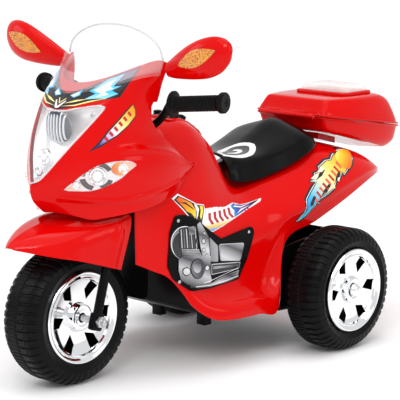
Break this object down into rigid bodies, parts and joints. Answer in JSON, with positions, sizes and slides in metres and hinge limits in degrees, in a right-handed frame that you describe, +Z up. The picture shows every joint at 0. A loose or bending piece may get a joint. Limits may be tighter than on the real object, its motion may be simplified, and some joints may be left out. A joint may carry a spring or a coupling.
{
  "type": "child's ride-on motorcycle",
  "caption": "child's battery ride-on motorcycle with three wheels, gloss red fairing and body, black saddle, trunk box, mirrors and clear windscreen",
  "frame": {"origin": "on the ground, under the middle of the bounding box", "axes": "+X the rider's left, +Y the rear of the vehicle, +Z up"},
  "size_m": [0.4354, 0.783, 0.4898],
  "materials": {
    "red_gloss": "gloss moulded plastic, self-coloured",
    "engine_print": "black panel with a silver engine print",
    "lamp_silver": "silvered plastic lamp",
    "mirror": "silvered",
    "grip_black": "ribbed soft plastic",
    "clear": "clear plastic",
    "chrome": "chrome-plated plastic",
    "black_plastic": "fine grain",
    "steel": "zinc plated",
    "wheel_black": "blow-moulded, fine tread",
    "nylon": "plain",
    "battery_case": "plain",
    "seat_black": "satin, one piece",
    "button_black": "gloss",
    "pedal_rubber": "grained"
  },
  "bodies": {
    "frame": {"body_half_left": "red_gloss", "body_half_right": "red_gloss", "engine_panel_left": "engine_print", "engine_panel_right": "engine_print", "side_lamp_left": "lamp_silver", "side_lamp_right": "lamp_silver", "mirror_shell_left": "red_gloss", "mirror_shell_right": "red_gloss", "mirror_glass_left": "mirror", "mirror_glass_right": "mirror", "front_fairing": "red_gloss", "headlight_lens": "clear", "headlight_reflector": "chrome", "headlight_bulb": "clear", "windscreen": "clear", "steering_head": "black_plastic", "rear_axle_cap_left": "chrome", "rear_axle_cap_right": "chrome", "rear_axle": "steel", "chassis_tray": "black_plastic", "gearbox_case": "black_plastic", "reduction_pin": "steel", "drive_motor": "steel", "battery": "battery_case", "speaker": "black_plastic", "charge_socket": "black_plastic", "seat": "seat_black", "dash_panel": "red_gloss", "pedal_base": "black_plastic", "trunk_tub": "red_gloss", "trunk_hinge_pin": "steel", "trunk_bracket": "red_gloss"},
    "steering": {"front_fender": "red_gloss", "fork_leg_left": "black_plastic", "fork_leg_right": "black_plastic", "fork_crown": "black_plastic", "front_axle": "steel", "front_axle_nut_left": "steel", "front_axle_nut_right": "steel", "handlebar": "black_plastic", "handlebar_clamp": "black_plastic", "grip_left": "grip_black", "grip_right": "grip_black"},
    "front_wheel_set": {"front_wheel": "wheel_black", "front_wheel_cap_left": "chrome", "front_wheel_cap_right": "chrome"},
    "rear_wheel_set_left": {"rear_wheel_left": "wheel_black", "rear_wheel_cap_left": "chrome"},
    "rear_wheel_set_right": {"rear_wheel_right": "wheel_black", "rear_wheel_cap_right": "chrome", "drive_gear": "nylon"},
    "reduction": {"reduction_gear": "nylon"},
    "pinion": {"motor_pinion": "steel"},
    "lid": {"trunk_lid": "red_gloss", "trunk_lid_cover": "clear"},
    "pedal": {"foot_pedal": "pedal_rubber"},
    "switch": {"direction_switch": "button_black"},
    "horn": {"horn_button": "button_black"},
    "music": {"music_button": "button_black"}
  },
  "joints": [
    {"name": "steering", "type": "hinge", "parent": "frame", "child": "steering", "pos_m": [0, -0.2845, 0.095], "axis": [0, 0.2756, 0.9613], "range_deg": [-12, 12]},
    {"name": "front_wheel_spin", "type": "hinge", "parent": "steering", "child": "front_wheel_set", "pos_m": [0, -0.2845, 0.095], "axis": [1, 0, 0], "continuous": true},
    {"name": "rear_left_spin", "type": "hinge", "parent": "frame", "child": "rear_wheel_set_left", "pos_m": [0, 0.1115, 0.0905], "axis": [1, 0, 0], "continuous": true},
    {"name": "rear_right_spin", "type": "hinge", "parent": "frame", "child": "rear_wheel_set_right", "pos_m": [0, 0.1115, 0.0905], "axis": [1, 0, 0], "continuous": true},
    {"name": "reduction_spin", "type": "hinge", "parent": "frame", "child": "reduction", "pos_m": [0, 0.078, 0.1115], "axis": [1, 0, 0], "continuous": true},
    {"name": "pinion_spin", "type": "hinge", "parent": "frame", "child": "pinion", "pos_m": [0, 0.073, 0.1407], "axis": [1, 0, 0], "continuous": true},
    {"name": "trunk_lid_hinge", "type": "hinge", "parent": "frame", "child": "lid", "pos_m": [0, 0.1805, 0.327], "axis": [1, 0, 0], "range_deg": [0, 75]},
    {"name": "pedal_press", "type": "hinge", "parent": "frame", "child": "pedal", "pos_m": [-0.121, -0.0245, 0.1055], "axis": [0.7547, 0, 0.6561], "range_deg": [0, 5], "stiffness_Nm_per_rad": 0.4, "springref_deg": -2.86},
    {"name": "direction_rock", "type": "hinge", "parent": "frame", "child": "switch", "pos_m": [0, -0.058, 0.343], "axis": [1, 0, 0], "range_deg": [-10, 10]},
    {"name": "horn_press", "type": "slide", "parent": "frame", "child": "horn", "axis": [0, 0, -1], "range_m": [0, 0.001], "stiffness_N_per_m": 300, "springref_m": -0.0003},
    {"name": "music_press", "type": "slide", "parent": "frame", "child": "music", "axis": [0, 0, -1], "range_m": [0, 0.001], "stiffness_N_per_m": 300, "springref_m": -0.0003}
  ],
  "couplings": [
    {"joint": "reduction_spin", "follows": "rear_right_spin", "ratio": -2.4444},
    {"joint": "pinion_spin", "follows": "rear_right_spin", "ratio": 6.1111}
  ]
}
